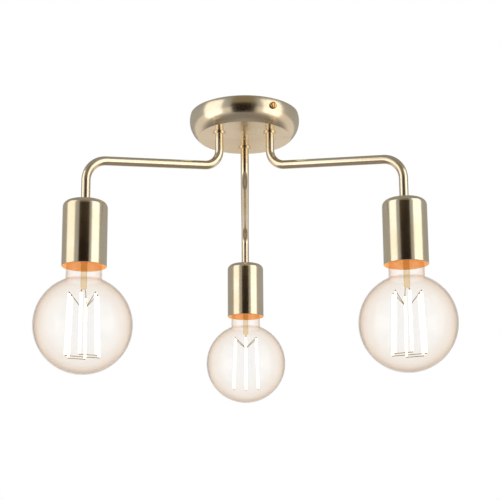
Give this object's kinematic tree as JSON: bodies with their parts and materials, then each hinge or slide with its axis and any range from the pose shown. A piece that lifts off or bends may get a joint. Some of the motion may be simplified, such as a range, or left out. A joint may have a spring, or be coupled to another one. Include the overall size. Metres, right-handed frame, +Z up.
{
  "type": "semi flush ceiling light",
  "caption": "Brass ceiling light with a round canopy, bent tube arms ending in open cups, and screw-in globe filament lamps.",
  "frame": {"origin": "centre of the ceiling plane, midway between the strap's fixing slots, on the strap's upper face", "axes": "+Z up into the ceiling, X along the ceiling strap through its fixing slots, the first arm points along -Y"},
  "size_m": [0.4068, 0.365, 0.2928],
  "materials": {
    "strap_steel": "zinc plated, satin",
    "canopy_brass": "satin lacquered, fine brushing",
    "screw_brass": "polished",
    "collar_brass": "satin",
    "arm_brass": "satin lacquered tube",
    "cup_brass": "satin lacquered, fine turned brushing",
    "fastener_steel": "zinc plated, bright",
    "holder_plastic": "heat resistant moulding",
    "contact_brass": "bright, thin sheet",
    "terminal_brass": "machined",
    "lamp_cap_brass": "rolled sheet",
    "lamp_insulator_black": "black insulating glass",
    "lamp_contact_metal": "tinned",
    "globe_glass": "clear, faint amber tint",
    "stem_glass": "clear",
    "lead_metal": "drawn wire",
    "filament_phosphor": "lit phosphor coating",
    "block_plastic": "translucent white",
    "line_insulation": "brown insulation",
    "neutral_insulation": "blue insulation",
    "earth_insulation": "green and yellow insulation"
  },
  "bodies": {
    "fixture": {"ceiling_strap": "strap_steel", "strap_earth_screw": "screw_brass", "canopy": "canopy_brass", "stud_nuts": "fastener_steel", "arm_collars": "collar_brass", "lock_washers": "fastener_steel", "lock_nuts": "fastener_steel", "arm_1": "arm_brass", "arm_2": "arm_brass", "arm_3": "arm_brass", "cup_1": "cup_brass", "cup_2": "cup_brass", "cup_3": "cup_brass", "cup_washers": "fastener_steel", "cup_nuts": "fastener_steel", "holder_cap_1": "holder_plastic", "holder_cap_2": "holder_plastic", "holder_cap_3": "holder_plastic", "holder_body_1": "holder_plastic", "holder_body_2": "holder_plastic", "holder_body_3": "holder_plastic", "holder_skirt_1": "holder_plastic", "holder_skirt_2": "holder_plastic", "holder_skirt_3": "holder_plastic", "screw_shell_1": "contact_brass", "screw_shell_2": "contact_brass", "screw_shell_3": "contact_brass", "holder_contacts": "contact_brass", "holder_terminals": "terminal_brass", "holder_terminal_screws": "fastener_steel", "terminal_block": "block_plastic", "terminal_screws": "fastener_steel", "line_wires": "line_insulation", "neutral_wires": "neutral_insulation", "earth_wire": "earth_insulation"},
    "lamp_1_travel": {"lamp_contact_1": "lamp_contact_metal"},
    "lamp_1": {"lamp_cap_1": "lamp_cap_brass", "lamp_insulator_1": "lamp_insulator_black", "lamp_globe_1": "globe_glass", "lamp_stem_1": "stem_glass", "lamp_leads_1": "lead_metal", "lamp_filaments_1": "filament_phosphor"},
    "lamp_2_travel": {"lamp_contact_2": "lamp_contact_metal"},
    "lamp_2": {"lamp_cap_2": "lamp_cap_brass", "lamp_insulator_2": "lamp_insulator_black", "lamp_globe_2": "globe_glass", "lamp_stem_2": "stem_glass", "lamp_leads_2": "lead_metal", "lamp_filaments_2": "filament_phosphor"},
    "lamp_3_travel": {"lamp_contact_3": "lamp_contact_metal"},
    "lamp_3": {"lamp_cap_3": "lamp_cap_brass", "lamp_insulator_3": "lamp_insulator_black", "lamp_globe_3": "globe_glass", "lamp_stem_3": "stem_glass", "lamp_leads_3": "lead_metal", "lamp_filaments_3": "filament_phosphor"},
    "side_screw_1_travel": {"canopy_screw_shank_1": "screw_brass"},
    "side_screw_1": {"canopy_screw_1": "screw_brass"},
    "side_screw_2_travel": {"canopy_screw_shank_2": "screw_brass"},
    "side_screw_2": {"canopy_screw_2": "screw_brass"}
  },
  "joints": [
    {"name": "lamp_1_drop", "type": "slide", "parent": "fixture", "child": "lamp_1_travel", "axis": [0, 0, -1], "range_m": [0, 0.0164]},
    {"name": "lamp_1_turn", "type": "hinge", "parent": "lamp_1_travel", "child": "lamp_1", "pos_m": [0, -0.18, -0.165], "axis": [0, 0, -1], "range_deg": [0, 1620]},
    {"name": "lamp_2_drop", "type": "slide", "parent": "fixture", "child": "lamp_2_travel", "axis": [0, 0, -1], "range_m": [0, 0.0164]},
    {"name": "lamp_2_turn", "type": "hinge", "parent": "lamp_2_travel", "child": "lamp_2", "pos_m": [0.15588, 0.09, -0.165], "axis": [0, 0, -1], "range_deg": [0, 1620]},
    {"name": "lamp_3_drop", "type": "slide", "parent": "fixture", "child": "lamp_3_travel", "axis": [0, 0, -1], "range_m": [0, 0.0164]},
    {"name": "lamp_3_turn", "type": "hinge", "parent": "lamp_3_travel", "child": "lamp_3", "pos_m": [-0.15588, 0.09, -0.165], "axis": [0, 0, -1], "range_deg": [0, 1620]},
    {"name": "side_screw_1_out", "type": "slide", "parent": "fixture", "child": "side_screw_1_travel", "axis": [1, 0, 0], "range_m": [0, 0.0084]},
    {"name": "side_screw_1_turn", "type": "hinge", "parent": "side_screw_1_travel", "child": "side_screw_1", "pos_m": [0.0605, 0, -0.009], "axis": [1, 0, 0], "range_deg": [0, 4332]},
    {"name": "side_screw_2_out", "type": "slide", "parent": "fixture", "child": "side_screw_2_travel", "axis": [-1, 0, 0], "range_m": [0, 0.0084]},
    {"name": "side_screw_2_turn", "type": "hinge", "parent": "side_screw_2_travel", "child": "side_screw_2", "pos_m": [-0.0605, 0, -0.009], "axis": [-1, 0, 0], "range_deg": [0, 4332]}
  ],
  "couplings": [
    {"joint": "lamp_1_drop", "follows": "lamp_1_turn", "m_per_rad": 0.00057757},
    {"joint": "lamp_2_drop", "follows": "lamp_2_turn", "m_per_rad": 0.00057757},
    {"joint": "lamp_3_drop", "follows": "lamp_3_turn", "m_per_rad": 0.00057757},
    {"joint": "side_screw_1_turn", "follows": "side_screw_1_out", "rad_per_m": 8976},
    {"joint": "side_screw_2_turn", "follows": "side_screw_2_out", "rad_per_m": 8976}
  ]
}
